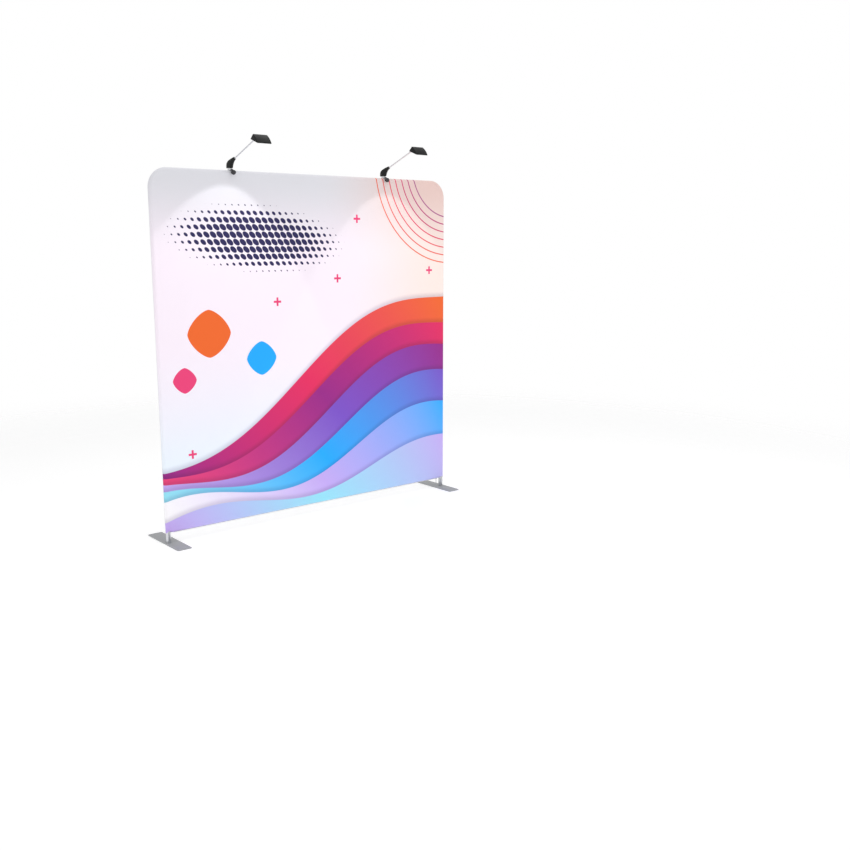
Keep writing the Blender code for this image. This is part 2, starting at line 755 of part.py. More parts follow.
def lamp_clamp(word, clamp):
    """The clamp: a bracket hooked over the dressed rail, its front jaw, and the swivel disc on top."""
    gap = clamp_clearance
    round_centre = (gap - clamp_corner_radius, gap - clamp_corner_radius)
    path = [(gap, -clamp_back_drop)] + arc(round_centre, clamp_corner_radius, 0, math.pi / 2, fold_steps)
    path += [(-clamp_front_length, gap)]
    bracket = put(f"{word}_clamp_bracket", folded_strip(
        f"{word}_clamp_bracket", path, clamp_width, SIDE_ON), aluminium, clamp)
    solidify(bracket, clamp_thickness, 1.0)

    flange = gap + clamp_thickness + fit_gap
    path = [
        (-jaw_flange_start, flange), (-clamp_front_length - jaw_bend_gap, flange),
        (-jaw_leg_inner_y, flange - jaw_shoulder_drop), (-jaw_leg_inner_y, -jaw_leg_drop),
    ]
    jaw = put(f"{word}_clamp_jaw", folded_strip(
        f"{word}_clamp_jaw", path, jaw_width, SIDE_ON), jaw_paint, clamp)
    solidify(jaw, jaw_thickness, 1.0)
    outer = jaw_leg_inner_y + jaw_thickness
    join(jaw, put(f"{word}_jaw_boss", drum(
        f"{word}_jaw_boss", jaw_boss_radius, (0, -outer + jaw_thickness / 2, screw_above_rail),
        (0, -outer - jaw_boss_height, screw_above_rail), fine_sides,
    ), None, clamp))
    cut(jaw, put(f"{word}_jaw_hole", drum(
        f"{word}_jaw_hole", screw_radius + fit_gap, (0, -jaw_leg_inner_y + cut_overrun, screw_above_rail),
        (0, -outer - jaw_boss_height - cut_overrun, screw_above_rail), fine_sides,
    ), None, clamp))

    low = gap + clamp_thickness + fit_gap
    high = low + swivel_height
    turned(f"{word}_swivel_disc", (
        (0, high + swivel_stem_height), (swivel_stem_radius, high + swivel_stem_height),
        (swivel_stem_radius, high), (swivel_radius, high), (swivel_radius, low), (0, low),
    ), aluminium, clamp, (0, swivel_y, 0), sides=tube_sides)
    return high


def lamp_screw(word, clamp):
    """The clamping screw with its pad and knob, set along -Y just above the rail's centre."""
    carrier = axis_empty(f"{word}_pad_axis", (0, -clamp_clearance, screw_above_rail), clamp)
    forward = (math.pi / 2, 0, 0)
    turned(f"{word}_clamp_pad", (
        (0, pad_thickness), (pad_radius - pad_thickness / 2, pad_thickness),
        (pad_radius, pad_thickness / 2), (pad_radius, 0), (0, 0),
    ), rubber, carrier, rotation=forward)
    spinner = axis_empty(f"{word}_knob_axis", (0, 0, 0), carrier)
    start = pad_thickness + fit_gap
    knob_start = jaw_leg_inner_y + jaw_thickness + jaw_boss_height + knob_boss_gap - clamp_clearance
    end = knob_start + screw_into_knob
    turned(f"{word}_clamp_screw", (
        (0, end), (screw_radius, end), (screw_radius, start), (0, start),
    ), zinc, spinner, rotation=forward, sides=fine_sides)
    steps = knob_lobes * knob_steps_per_lobe
    outline = []
    for i in range(steps):
        angle = 2 * math.pi * i / steps
        reach = knob_radius * (1 - knob_lobe_share * (1 - math.cos(knob_lobes * angle)) / 2)
        outline.append((reach * math.cos(angle), reach * math.sin(angle)))
    turn = Matrix.Translation((0, -knob_start - knob_thickness / 2, 0)) @ FACE_ON
    knob = put(f"{word}_clamp_knob", slab(
        f"{word}_clamp_knob", outline, knob_thickness, turn, knob_edge_round), knob_plastic, spinner)
    cut(knob, put(f"{word}_knob_bore", drum(
        f"{word}_knob_bore", screw_radius + fit_gap, (0, -knob_start + cut_overrun, 0),
        (0, -end - fit_gap, 0), fine_sides,
    ), None, spinner))


def lamp_holder(word, pan):
    """The curved holder, tapered to its tip, with the cable gland at its back and the arm in its tip."""
    outline = [
        (holder_back - swivel_y - holder_reach * along, holder_height * up + fit_gap)
        for along, up in holder_outline_shares
    ]
    mesh = slab(f"{word}_holder", outline, holder_base_width, SIDE_ON, holder_edge_round)
    tip_y = holder_back - swivel_y - holder_reach
    for vertex in mesh.vertices:
        share = min(1, max(0, (vertex.co.y - outline[0][0]) / (tip_y - outline[0][0])))
        vertex.co.x *= 1 + share * (holder_tip_width / holder_base_width - 1)
    holder = put(f"{word}_holder", mesh, black_plastic, pan)
    cut(holder, put(f"{word}_stem_bore", drum(
        f"{word}_stem_bore", swivel_stem_radius + fit_gap, (0, 0, -cut_overrun),
        (0, 0, swivel_stem_height + fit_gap), small_sides,
    ), None, pan))

    back = holder_back - swivel_y
    cut(holder, put(f"{word}_gland_seat", drum(
        f"{word}_gland_seat", gland_radius + fit_gap, (0, back - gland_seat_depth - fit_gap, gland_height),
        (0, back + cut_overrun, gland_height), fine_sides,
    ), None, pan))
    backward = (-math.pi / 2, 0, 0)
    turned(f"{word}_cable_gland", (
        (gland_tip_radius, gland_length - gland_seat_depth), (gland_radius, 0),
        (gland_radius, -gland_seat_depth), (gland_bore_radius, -gland_seat_depth),
        (gland_bore_radius, gland_length - gland_seat_depth),
    ), rubber, pan, (0, back, gland_height), backward, sides=fine_sides)

    tip = Vector((0, back - holder_reach * arm_tip_y_share, holder_height * arm_tip_z_share))
    along = Vector((0, -arm_run, arm_rise))
    pin = tip + along
    along.normalize()
    inner_end = tip - along * arm_socket_depth
    arm = put(f"{word}_arm", drum(f"{word}_arm", arm_radius, inner_end, pin, fine_sides), chrome, pan)
    join(arm, put(f"{word}_ferrule", drum(
        f"{word}_ferrule", ferrule_radius, tip + along * ferrule_start,
        tip + along * (ferrule_start + ferrule_length), small_sides,
    ), None, pan))
    half = knuckle_width / 2
    join(arm, put(f"{word}_knuckle", drum(
        f"{word}_knuckle", knuckle_radius, pin - Vector((half, 0, 0)), pin + Vector((half, 0, 0)),
        small_sides,
    ), None, pan))
    wide = Vector((knuckle_width, 0, 0))
    cut(arm, put(f"{word}_knuckle_bore", drum(
        f"{word}_knuckle_bore", pin_radius + fit_gap, pin - wide, pin + wide, fine_sides), None, pan))
    cut(holder, put(f"{word}_arm_socket", drum(
        f"{word}_arm_socket", arm_radius + fit_gap, inner_end - along * fit_gap,
        tip + along * (ferrule_start + ferrule_length), fine_sides,
    ), None, pan))
    return pin


def hood_outline(back, low):
    """The hood's side outline, its mouth first: back edge, peak, bulged front and lip."""
    peak = Vector((back - hood_peak_depth, low + hood_peak_height))
    lip = Vector((back - hood_depth, low + hood_lip_height))
    run = lip - peak
    outward = Vector((run.y, -run.x)).normalized()
    points = [(back, low), tuple(peak)]
    for i in range(1, hood_bulge_steps):
        share = i / hood_bulge_steps
        points.append(tuple(peak + run * share + outward * hood_bulge * math.sin(math.pi * share)))
    return points + [tuple(lip), (back - hood_depth, low)]


def lamp_hood(word, tilt, back, low):
    """The wedge-shaped hood: a thin shell open at its mouth, with hinge ears and cooling slots behind."""
    outline = hood_outline(back, low)
    shape = bmesh.new()
    ends = [[shape.verts.new((side * hood_width / 2, y, z)) for y, z in outline] for side in (-1, 1)]
    count = len(outline)
    for end in ends:
        shape.faces.new(end)
    walls = []
    for i in range(count):
        after = (i + 1) % count
        walls.append(shape.faces.new((ends[0][i], ends[0][after], ends[1][after], ends[1][i])))
    bmesh.ops.recalc_face_normals(shape, faces=shape.faces)
    mouth = walls[-1]
    closed_edges = [edge for edge in shape.edges if mouth not in edge.link_faces]
    corners = [edge for edge in closed_edges if edge.calc_face_angle() > hood_corner_angle]
    bmesh.ops.delete(shape, geom=[mouth], context="FACES_ONLY")
    bmesh.ops.bevel(
        shape, geom=corners, offset=hood_edge_round, segments=2, profile=0.5, affect="EDGES")
    mesh = bpy.data.meshes.new(f"{word}_hood")
    shape.to_mesh(mesh)
    shape.free()
    hood = put(f"{word}_hood", smooth(mesh), hood_paint, tilt)
    solidify(hood, hood_wall)

    rise = Vector((0, -hood_peak_depth, hood_peak_height)).normalized()
    inward = Vector((0, -rise.z, rise.y))
    foot_centre = inward * (pin_stand_off + ear_foot_depth - hood_wall)
    near = knuckle_width / 2 + fit_gap
    for side, word_side in ((-1, "left"), (1, "right")):
        ear_outline = [
            tuple((foot_centre + rise * ear_foot_half_height).yz),
            tuple((foot_centre - rise * ear_foot_half_height).yz),
        ]
        turn_start = math.atan2(-rise.z, -rise.y)
        ear_outline += arc((0, 0), ear_radius, turn_start, turn_start + math.pi, ear_steps)
        middle = Matrix.Translation((side * (near + ear_thickness / 2), 0, 0))
        ear = put(f"{word}_hood_{word_side}_ear", slab(
            f"{word}_hood_{word_side}_ear", ear_outline, ear_thickness, middle @ SIDE_ON), None, tilt)
        join(hood, ear)
    wide = near + ear_thickness + cut_overrun
    cut(hood, put(f"{word}_hood_pin_hole", drum(
        f"{word}_hood_pin_hole", pin_radius + fit_gap, (-wide, 0, 0), (wide, 0, 0), fine_sides,
    ), None, tilt))

    edge = Vector((0, back, low))
    face = Vector((0, -hood_peak_depth, hood_peak_height))
    for side in (-1, 1):
        for i in range(slots_each_side):
            x = side * (slot_first_x + i * slot_pitch)
            start = edge + face * slot_low_share
            end = edge + face * slot_high_share
            slot_outline = [
                tuple((start - inward * cut_overrun).yz), tuple((end - inward * cut_overrun).yz),
                tuple((end + inward * cut_overrun).yz), tuple((start + inward * cut_overrun).yz),
            ]
            cut(hood, put(f"{word}_cooling_slot", slab(
                f"{word}_cooling_slot", slot_outline, slot_width, Matrix.Translation((x, 0, 0)) @ SIDE_ON,
            ), None, tilt))


def inside_back(back, height):
    """How far back a piece may reach inside the leaning back wall, at a height over the mouth."""
    lean = hood_peak_depth / hood_peak_height
    return back - (hood_wall + fit_gap) * math.hypot(1, lean) - lean * height


def lamp_head(word, tilt):
    """The head that tilts on the arm: hood, bezel, lens, board and hinge pin."""
    rise = Vector((-hood_peak_depth, hood_peak_height))
    outward = Vector((rise.y, -rise.x)).normalized()
    foot_of_pin = rise * pin_height_share + outward * pin_stand_off
    back, low = -foot_of_pin.x, -foot_of_pin.y
    lamp_hood(word, tilt, back, low)

    inner = hood_wall + fit_gap
    far_back, far_front = inside_back(back, bezel_height), back - hood_depth + inner
    half = hood_width / 2 - inner
    bezel = put(f"{word}_lens_bezel", block(
        f"{word}_lens_bezel", (-half, far_front, low), (half, far_back, low + bezel_height),
    ), hood_paint, tilt)
    cut(bezel, put(f"{word}_bezel_window", block(
        f"{word}_bezel_window", (bezel_rim - half, far_front + bezel_rim, low - cut_overrun),
        (half - bezel_rim, far_back - bezel_rim, low + bezel_height + cut_overrun)), None, tilt))
    lens_low = low + bezel_height + fit_gap
    lens_back = inside_back(back, lens_low + lens_thickness - low)
    put(f"{word}_lens", block(
        f"{word}_lens", (-half, far_front + hood_edge_round / 2, lens_low),
        (half, lens_back, lens_low + lens_thickness),
    ), lens_plastic, tilt)

    board_low = low + board_height
    board_front = back - hood_depth * board_front_share
    board_back = lens_back - board_edge_gap
    board_half = half - board_edge_gap
    board = put(f"{word}_led_board", block(
        f"{word}_led_board", (-board_half, board_front, board_low),
        (board_half, board_back, board_low + board_thickness)), board_white, tilt)
    leg_low = lens_low + lens_thickness + fit_gap
    for x in (board_leg_inset - board_half, board_half - board_leg_inset):
        for y in (board_front + board_leg_inset, board_back - board_leg_inset):
            join(board, put(f"{word}_board_leg", drum(
                f"{word}_board_leg", board_leg_radius, (x, y, leg_low),
                (x, y, board_low + board_thickness / 2), leg_sides,
            ), None, tilt))
    for column in range(chip_columns):
        for row in range(chip_rows):
            x = board_half * (2 * (column + 1) / (chip_columns + 1) - 1)
            y = board_front + (board_back - board_front) * (row + 1) / (chip_rows + 1)
            join(board, put(f"{word}_led_chip", block(
                f"{word}_led_chip", (x - chip_side / 2, y - chip_side / 2, board_low - chip_height),
                (x + chip_side / 2, y + chip_side / 2, board_low + board_thickness / 2)), None, tilt))

    pin_half = knuckle_width / 2 + fit_gap + ear_thickness + fit_gap
    turned(f"{word}_hinge_pin", (
        (0, pin_half + pin_head_height), (pin_head_radius, pin_half + pin_head_height),
        (pin_head_radius, pin_half), (pin_radius, pin_half), (pin_radius, -pin_half),
        (pin_head_radius, -pin_half), (pin_head_radius, -pin_half - pin_head_height),
        (0, -pin_half - pin_head_height),
    ), zinc, tilt, rotation=(0, math.pi / 2, 0), sides=fine_sides)


def lamp(word, x, parent):
    """One clamp-on lamp: clamp, screw, holder with arm, and head."""
    clamp = axis_empty(f"{word}_clamp_axis", (x, 0, top_rail_z), parent)
    swivel_top = lamp_clamp(word, clamp)
    lamp_screw(word, clamp)
    pan = axis_empty(f"{word}_pan_axis", (0, swivel_y, swivel_top), clamp)
    pin = lamp_holder(word, pan)
    tilt = axis_empty(f"{word}_tilt_axis", pin, pan, (head_aim, 0, 0))
    lamp_head(word, tilt)


def centre_over_origin(root):
    """Moves the display along Y until the middle of its box stands over the origin."""
    bpy.context.view_layer.update()
    graph = bpy.context.evaluated_depsgraph_get()
    reach = []
    for piece in parts.objects:
        if piece.type == "MESH":
            placed = piece.evaluated_get(graph)
            mesh = placed.to_mesh()
            reach += [(placed.matrix_world @ vertex.co).y for vertex in mesh.vertices]
            placed.to_mesh_clear()
    root.location.y = -(min(reach) + max(reach)) / 2


display = axis_empty("display", (0, 0, 0))
frame(display)
cover(display)
zipper(display)
for foot_word, foot_side in (("left", -1), ("right", 1)):
    foot(foot_word, foot_side, display)
    lamp(f"{foot_word}_lamp", foot_side * lamp_x, display)
centre_over_origin(display)
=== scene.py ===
import math

import bmesh
import bpy
from mathutils import Matrix, Vector


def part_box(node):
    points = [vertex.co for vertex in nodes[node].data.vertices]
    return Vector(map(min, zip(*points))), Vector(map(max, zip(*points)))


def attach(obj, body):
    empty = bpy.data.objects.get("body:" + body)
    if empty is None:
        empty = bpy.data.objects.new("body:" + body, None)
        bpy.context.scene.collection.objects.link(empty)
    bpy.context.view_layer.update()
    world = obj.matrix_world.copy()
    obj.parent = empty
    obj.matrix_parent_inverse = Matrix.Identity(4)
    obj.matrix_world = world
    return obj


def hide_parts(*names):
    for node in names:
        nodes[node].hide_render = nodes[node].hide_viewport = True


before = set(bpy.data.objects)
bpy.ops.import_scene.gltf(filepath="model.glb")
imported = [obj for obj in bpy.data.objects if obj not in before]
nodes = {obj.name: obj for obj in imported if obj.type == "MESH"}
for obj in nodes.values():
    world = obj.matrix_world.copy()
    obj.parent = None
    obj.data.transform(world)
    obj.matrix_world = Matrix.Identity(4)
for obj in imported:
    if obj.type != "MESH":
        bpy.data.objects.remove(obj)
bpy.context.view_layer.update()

lamps = ("left_lamp", "right_lamp")

# The cover's outline and the zip, worked out from their solids
front_low, front_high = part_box("front_cover")
_, back_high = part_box("back_cover")
zip_low, zip_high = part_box("zip_chain")
wrap_radius = (back_high.y - front_low.y) / 2
middle_y = (back_high.y + front_low.y) / 2
upright_x = front_high.x - wrap_radius
top_rail_z = front_high.z - wrap_radius
bottom_rail_z = front_low.z + wrap_radius

# The corner tubes' bend, along their centre line
bend_radius = 0.1047
quarter_turn = math.pi / 2

# Cloth
cloth_thickness = 0.0005
seam_depth = 0.0007
zip_clearance = 0.0003
outline_step = 0.025
bend_steps = 16
wrap_steps = 8
face_rings = 26
middle_share = 0.35
leg_hole_radius = 0.0166
leg_hole_sides = 40
corner_pull = 0.0004
corner_pull_reach = 0.16
corner_pull_rise = 4
corner_folds = 9


def screen(red, green, blue):
    """A colour given as a screen shows it, 0 to 255, in Blender's linear numbers."""
    def linear(value):
        share = value / 255
        return share / 12.92 if share <= 0.04045 else ((share + 0.055) / 1.055) ** 2.4
    return (linear(red), linear(green), linear(blue), 1.0)


class Field:
    """A number, a colour or a vector that varies over a surface."""

    def __init__(self, finish, socket):
        self.finish = finish
        self.socket = socket

    def calc(self, operation, *values):
        return self.finish.node("Math", {"operation": operation}, dict(enumerate(values)))

    def __add__(self, other):
        return self.calc("ADD", self, other)

    def __radd__(self, other):
        return self.calc("ADD", other, self)

    def __sub__(self, other):
        return self.calc("SUBTRACT", self, other)

    def __rsub__(self, other):
        return self.calc("SUBTRACT", other, self)

    def __mul__(self, other):
        return self.calc("MULTIPLY", self, other)

    def __rmul__(self, other):
        return self.calc("MULTIPLY", other, self)

    def __truediv__(self, other):
        return self.calc("DIVIDE", self, other)

    def __pow__(self, power):
        return self.calc("POWER", self, power)

    def __abs__(self):
        return self.calc("ABSOLUTE", self)

    def sine(self):
        return self.calc("SINE", self)

    def within_cell(self):
        """The part after the point: where a place lies in its cell of a unit grid, 0 to 1."""
        return self.calc("FRACT", self)

    def least(self, other):
        return self.calc("MINIMUM", self, other)

    def most(self, other):
        return self.calc("MAXIMUM", self, other)

    def rise(self, start, end):
        """Goes smoothly from 0 at start to 1 at end."""
        limits = {0: self, 1: start, 2: end, 3: 0.0, 4: 1.0}
        return self.finish.node("MapRange", {"interpolation_type": "SMOOTHSTEP"}, limits)


class Finish:
    """One material: its Principled shader, and the nodes that vary it."""

    def __init__(self, name, **fixed):
        self.material = bpy.data.materials.new(name)
        self.material.use_nodes = True
        self.tree = self.material.node_tree
        self.shader = self.tree.nodes["Principled BSDF"]
        self.give({name.replace("_", " ").title(): value for name, value in fixed.items()})

    def node(self, kind, settings, sockets, output=0):
        """Adds one node: its settings first, then the values or links of its sockets."""
        made = self.tree.nodes.new("ShaderNode" + kind)
        for name, value in settings.items():
            if name == "stops":
                self.set_stops(made.color_ramp.elements, value)
            else:
                setattr(made, name, value)
        for name, value in sockets.items():
            self.feed(made.inputs[name], value)
        return Field(self, made.outputs[output])

    def set_stops(self, elements, stops):
        elements.remove(elements[1])
        elements[0].position, elements[0].color = stops[0]
        for place, colour in stops[1:]:
            elements.new(place).color = colour

    def feed(self, socket, value):
        if isinstance(value, Field):
            self.tree.links.new(value.socket, socket)
        else:
            socket.default_value = value

    def give(self, sockets):
        for name, value in sockets.items():
            self.feed(self.shader.inputs[name], value)
        return self

    def place(self):
        """Where a point lies on its piece, in metres."""
        return self.node("TexCoord", {}, {}, output=3)

    def axes(self, vector):
        return [self.node("SeparateXYZ", {}, {0: vector}, output=n) for n in range(3)]

    def flat(self, layer):
        """Where a point lies on the flat cloth, in metres."""
        return self.axes(self.node("UVMap", {"uv_map": layer}, {}))[:2]

    def stretched(self, place, shares):
        return self.node("VectorMath", {"operation": "MULTIPLY"}, {0: place, 1: shares})

    def noise(self, place, scale, detail, roughness=0.5):
        sockets = {"Vector": place, "Scale": scale, "Detail": detail, "Roughness": roughness}
        return self.node("TexNoise", {}, sockets)

    def blend(self, share, first, second, kind="MIX"):
        """Goes from the first colour to the second as share goes from 0 to 1."""
        settings = {"data_type": "RGBA", "blend_type": kind}
        return self.node("Mix", settings, {0: share, 6: first, 7: second}, output=2)

    def ramp(self, value, stops):
        return self.node("ValToRGB", {"stops": stops}, {0: value})

    def relief(self, height):
        """Bumps of this height, in metres."""
        bump = self.node("Bump", {}, {"Strength": 1.0, "Distance": 1.0, "Height": height})
        return self.give({"Normal": bump})


# The print's colours, and a grey that paints shade along the top of the cloth
painted_top_shade = screen(223, 223, 229)
ground_left = screen(251, 240, 251)
ground_low = screen(232, 246, 255)
ground_right = screen(250, 232, 225)
ground_corner = screen(232, 202, 195)
navy = screen(32, 26, 82)
orange = screen(240, 102, 28)
sky = screen(0, 170, 252)
plum = screen(150, 18, 132)
crimson = screen(228, 30, 92)
violet = screen(120, 76, 196)
lavender = screen(196, 170, 240)
ice = screen(150, 226, 244)
rose = screen(236, 60, 120)
white = screen(252, 250, 254)

edge_blur = 0.0016
paper_shadow = 0.045
paper_shadow_strength = 0.30
paper_shadow_colour = screen(90, 60, 130)
sheet_colour_run = 0.43
sheet_colour_lift = 0.25

# Where the ground's colours run into each other, in metres up or across
low_fade = (0.2, 1.3)
right_fade = (0.1, 1.1)
right_fade_up = (0.3, 1.6)
# top_fade and top_fade_across place the painted grey shade along the top, which goes over to the peach
# print colour at the right corner
top_fade = (1.75, 2.28)
top_fade_across = (0.0, 1.0)


def wave_line(across, height, slope, swing, pace, start):
    """How high a wave's edge lies above the floor, from the flat cloth's place across."""
    return height + slope * across + swing * (pace * across + start).sine()


# Each sheet of the waves: its edge as wave_line takes it, and its colours from the left to the right
wave_sheets = (
    ((1.02, 0.42, 0.16, 2.6, 0.4), ((0.0, plum), (0.45, crimson), (1.0, orange))),
    ((0.86, 0.38, 0.15, 2.8, 0.1), ((0.0, rose), (0.5, plum), (1.0, crimson))),
    ((0.70, 0.34, 0.15, 2.9, -0.3), ((0.0, lavender), (0.55, violet), (1.0, plum))),
    ((0.54, 0.28, 0.14, 3.0, -0.7), ((0.0, ice), (0.5, sky), (1.0, violet))),
    ((0.38, 0.20, 0.12, 3.2, -1.1), ((0.0, white), (0.5, lavender), (1.0, sky))),
    ((0.22, 0.12, 0.08, 3.4, -1.6), ((0.0, lavender), (0.5, ice), (1.0, lavender))),
)


def print_colours(finish):
    """The printed picture: a pale ground, sheets of waves, dots, arcs and small signs, under a painted grey
    shade along the top.
    """
    across, up = finish.flat("flat")
    ground = finish.blend(up.rise(*low_fade), ground_low, ground_left)
    ground = finish.blend(across.rise(*right_fade) * up.rise(*right_fade_up), ground, ground_right)
    # Painted shade: the ground turns grey towards the top, going over to the peach print colour at the
    # right corner
    high = finish.blend(across.rise(*top_fade_across), painted_top_shade, ground_corner)
    colour = finish.blend(up.rise(*top_fade), ground, high)
    colour = halftone(finish, colour, across, up)
    colour = corner_arcs(finish, colour, across, up)
    for shape, stops in wave_sheets:
        above = up - wave_line(across, *shape)
        shadow = paper_shadow_strength * (above.rise(paper_shadow, 0.0) * above.rise(-edge_blur, 0.0))
        colour = finish.blend(shadow, colour, paper_shadow_colour, "MULTIPLY")
        sheet = finish.ramp(across * sheet_colour_run + 0.5 + sheet_colour_lift * above, stops)
        colour = finish.blend(above.rise(edge_blur, -edge_blur), colour, sheet)
    for place, size, paint in tiles:
        colour = tile(finish, colour, across, up, place, size, paint)
    for place in plus_signs:
        colour = plus_sign(finish, colour, across, up, place)
    return colour


dot_pitch = 0.046
dot_lean = 0.5
dot_radius = 0.46
dots_middle = (-0.42, 1.86)
dots_reach = (0.72, 0.24)
dots_fall = 0.06


def halftone(finish, colour, across, up):
    """A band of navy dots that shrink towards its edges; a dot's radius is in pitches."""
    lean = across + dot_lean * up
    from_middle_x = abs(across - dots_middle[0]) / dots_reach[0]
    from_middle_z = abs(up - dots_middle[1] + dots_fall * across) / dots_reach[1]
    strength = 1 - (from_middle_x ** 2 + from_middle_z ** 2)
    off_x = (lean / dot_pitch).within_cell() - 0.5
    off_z = (up / dot_pitch).within_cell() - 0.5
    distance = (off_x ** 2 + off_z ** 2) ** 0.5
    radius = dot_radius * strength.rise(0.0, 0.9)
    blur = edge_blur / dot_pitch
    inside = (distance - radius).rise(blur, -blur) * radius.rise(0.02, 0.05)
    return finish.blend(inside, colour, navy)


arcs_middle = (1.20, 2.40)
arcs_start = (0.34, 0.36)
arcs_end = (0.74, 0.72)
arc_gap = 0.055
arc_half_width = 0.07
arc_colours = ((0.34, plum), (0.52, crimson), (0.74, orange))


def corner_arcs(finish, colour, across, up):
    """Thin arcs round the upper right corner; an arc's half width is in gaps."""
    away = ((across - arcs_middle[0]) ** 2 + (up - arcs_middle[1]) ** 2) ** 0.5
    line = abs((away / arc_gap).within_cell() - 0.5)
    blur = edge_blur / arc_gap
    inside = line.rise(arc_half_width + blur, arc_half_width - blur)
    inside = inside * away.rise(*arcs_start) * away.rise(*arcs_end)
    return finish.blend(inside, colour, finish.ramp(away, arc_colours))


# Rounded tiles that stand on a corner: place across and up, half their width, colour
tiles = (
    ((-0.80, 1.30), 0.15, orange),
    ((-0.43, 1.12), 0.11, sky),
    ((-0.98, 1.02), 0.08, rose),
)
tile_bulge = 1.5


def tile(finish, colour, across, up, place, size, paint):
    off_x = abs(across - place[0]) / size
    off_z = abs(up - place[1]) / size
    distance = (off_x ** tile_bulge + off_z ** tile_bulge) - 1
    blur = edge_blur / size
    return finish.blend(distance.rise(blur, -blur), colour, paint)


# Small plus signs: place across and up
plus_signs = ((-0.95, 0.55), (0.35, 2.02), (0.18, 1.62), (-0.30, 1.48), (1.00, 1.66))
plus_reach = 0.028
plus_half_width = 0.007


def plus_sign(finish, colour, across, up, place):
    off_x = abs(across - place[0])
    off_z = abs(up - place[1])
    inside = off_x.least(off_z).rise(plus_half_width + edge_blur, plus_half_width - edge_blur)
    inside = inside * off_x.most(off_z).rise(plus_reach + edge_blur, plus_reach - edge_blur)
    return finish.blend(inside, colour, rose)


knit_pitch = 0.0011
knit_depth = 0.00006
loop_sway = 0.6
loop_squat = 1.3
pucker_pitch = 0.009
pucker_depth = 0.0004
pucker_reach = 0.014


def knit_relief(finish):
    """The loops of the knit, and the small puckers along the seam."""
    across, up = finish.flat("flat")
    turn = 2 * math.pi / knit_pitch
    wales = (across * turn + (up * turn).sine() * loop_sway).sine()
    courses = (up * (turn / loop_squat)).sine()
    along, from_seam = finish.flat("seam")
    puckers = (along * (2 * math.pi / pucker_pitch)).sine() * from_seam.rise(pucker_reach, 0.0)
    return knit_depth * (wales * courses) + pucker_depth * puckers


def printed_cloth():
    finish = Finish("printed_stretch_knit", sheen_weight=0.25, sheen_roughness=0.4)
    colour = print_colours(finish)
    patchy = finish.noise(finish.place(), 900.0, 1.0)
    shade = finish.ramp(patchy, ((0.3, (0.6, 0.6, 0.6, 1)), (0.7, (1, 1, 1, 1))))
    colour = finish.blend(0.05, colour, shade, "MULTIPLY")
    finish.give({"Base Color": colour, "Roughness": 0.74 + 0.12 * patchy})
    return finish.relief(knit_relief(finish))


def white_cloth():
    finish = Finish("white_stretch_knit", sheen_weight=0.1, sheen_roughness=0.4)
    patchy = finish.noise(finish.place(), 700.0, 2.0)
    wide = finish.noise(finish.place(), 3.0, 2.0)
    colour = finish.blend(patchy, screen(236, 236, 240), screen(247, 247, 250))
    colour = finish.blend(wide.rise(0.35, 0.7) * 0.3, colour, screen(238, 239, 246))
    finish.give({"Base Color": colour, "Roughness": 0.76 + 0.14 * patchy})
    return finish.relief(knit_relief(finish))


def drawn_aluminium(along):
    """Satin tube: fine draw lines run along the given axis."""
    finish = Finish(f"drawn_aluminium_{'xyz'[along]}", metallic=1.0)
    shares = [420.0, 420.0, 420.0]
    shares[along] = 5.0
    place = finish.place()
    lines = finish.noise(finish.stretched(place, shares), 1.0, 3.0, 0.6)
    cloudy = finish.noise(place, 22.0, 3.0)
    colour = finish.blend(lines, screen(196, 198, 202), screen(226, 227, 230))
    finish.give({"Base Color": colour, "Roughness": 0.24 + 0.16 * lines + 0.08 * cloudy})
    return finish.relief(0.000012 * lines)


def grey_powder_coat():
    finish = Finish("grey_powder_coat", coat_roughness=0.3)
    place = finish.place()
    peel = finish.noise(place, 420.0, 2.0)
    grain = finish.noise(place, 2600.0, 1.0)
    scuffs = finish.noise(finish.stretched(place, (14.0, 60.0, 60.0)), 1.0, 4.0, 0.65).rise(0.62, 0.78)
    colour = finish.blend(grain, screen(148, 150, 153), screen(166, 168, 171))
    colour = finish.blend(scuffs * 0.25, colour, screen(190, 192, 195))
    finish.give({"Base Color": colour, "Roughness": 0.34 + 0.14 * peel + 0.1 * scuffs, "Coat Weight": 0.15})
    return finish.relief(0.00005 * peel + 0.00001 * grain)


def zinc_plate():
    finish = Finish("bright_zinc_plate", metallic=1.0)
    place = finish.place()
    cloudy = finish.noise(place, 60.0, 3.0, 0.6)
    fine = finish.noise(place, 1400.0, 2.0)
    tints = ((0.3, screen(196, 201, 212)), (0.5, screen(214, 214, 214)), (0.7, screen(212, 208, 192)))
    finish.give({"Base Color": finish.ramp(cloudy, tints), "Roughness": 0.24 + 0.16 * fine + 0.12 * cloudy})
    return finish.relief(0.000015 * fine)


def moulded(name, dark, light, gloss, grain_scale=2200.0, grain_depth=0.00004, shine=0.5):
    """Moulded plastic with a spark-eroded grain; dark and light are its two shades."""
    finish = Finish(name)
    place = finish.place()
    grain = finish.noise(place, grain_scale, 3.0, 0.7)
    handled = finish.noise(place, 40.0, 3.0)
    finish.give({"Base Color": finish.blend(handled, dark, light),
                 "Roughness": gloss + 0.12 * grain + 0.1 * handled, "Specular IOR Level": shine})
    return finish.relief(grain_depth * grain)


def pad_rubber():
    finish = Finish("black_pad_rubber")
    place = finish.place()
    grain = finish.noise(place, 1500.0, 4.0, 0.7)
    bloom = finish.noise(place, 90.0, 3.0).rise(0.45, 0.75)
    colour = finish.blend(bloom * 0.5, screen(24, 24, 25), screen(44, 44, 46))
    finish.give({"Base Color": colour, "Roughness": 0.72 + 0.16 * grain})
    return finish.relief(0.00006 * grain)


